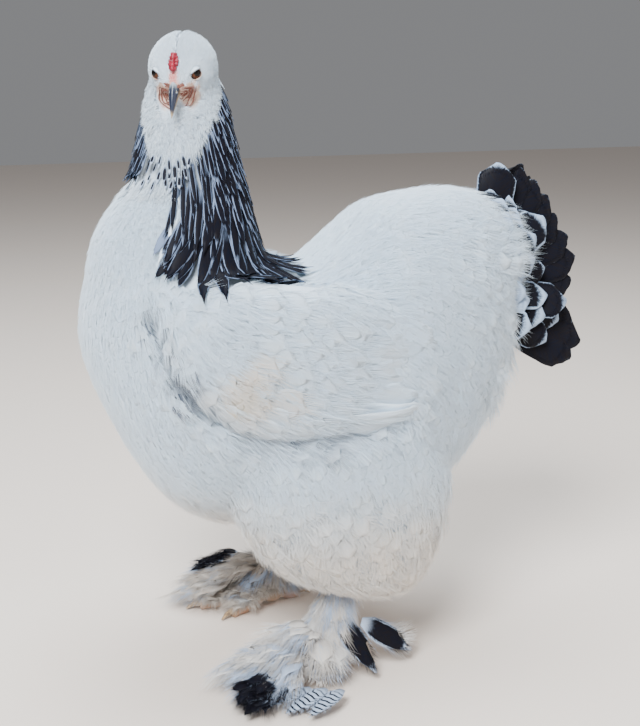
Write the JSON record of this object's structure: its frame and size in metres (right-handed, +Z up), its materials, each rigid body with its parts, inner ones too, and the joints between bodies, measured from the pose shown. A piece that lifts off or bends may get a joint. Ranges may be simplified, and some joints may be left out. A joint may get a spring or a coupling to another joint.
{
  "type": "brahma hen model",
  "caption": "Life-size still model of a standing light brahma hen with raised neck, turned head, laced hackle cape, folded wings, fanned tail and feathered feet.",
  "frame": {"origin": "on the floor under the middle of the hen's bounding box", "axes": "+Z up, the hen faces -X and her left side is towards -Y"},
  "size_m": [0.5346, 0.4076, 0.6341],
  "materials": {
    "white_feather": "soft",
    "hackle_feather": "soft, black with pale lacing",
    "black_feather": "soft with a slight gloss",
    "foot_feather": "soft, pale grey with dark streaks",
    "horn": "polished horn",
    "comb_skin": "fine-grained skin",
    "eye": "wet gloss",
    "claw": "dull horn"
  },
  "bodies": {
    "root": {"beak_lower": "horn", "beak_upper": "horn", "claw_left_hind": "claw", "claw_left_inner": "claw", "claw_left_middle": "claw", "claw_left_outer": "claw", "claw_right_hind": "claw", "claw_right_inner": "claw", "claw_right_middle": "claw", "claw_right_outer": "claw", "comb": "comb_skin", "eye_left": "eye", "eye_right": "eye", "head": "white_feather", "leg_left": "foot_feather", "leg_right": "foot_feather", "neck": "hackle_feather", "rump": "white_feather", "tail": "black_feather", "thigh_left": "white_feather", "thigh_right": "white_feather", "torso": "white_feather", "wattle_left": "comb_skin", "wattle_right": "comb_skin", "wing_left": "white_feather", "wing_right": "white_feather"}
  },
  "joints": []
}
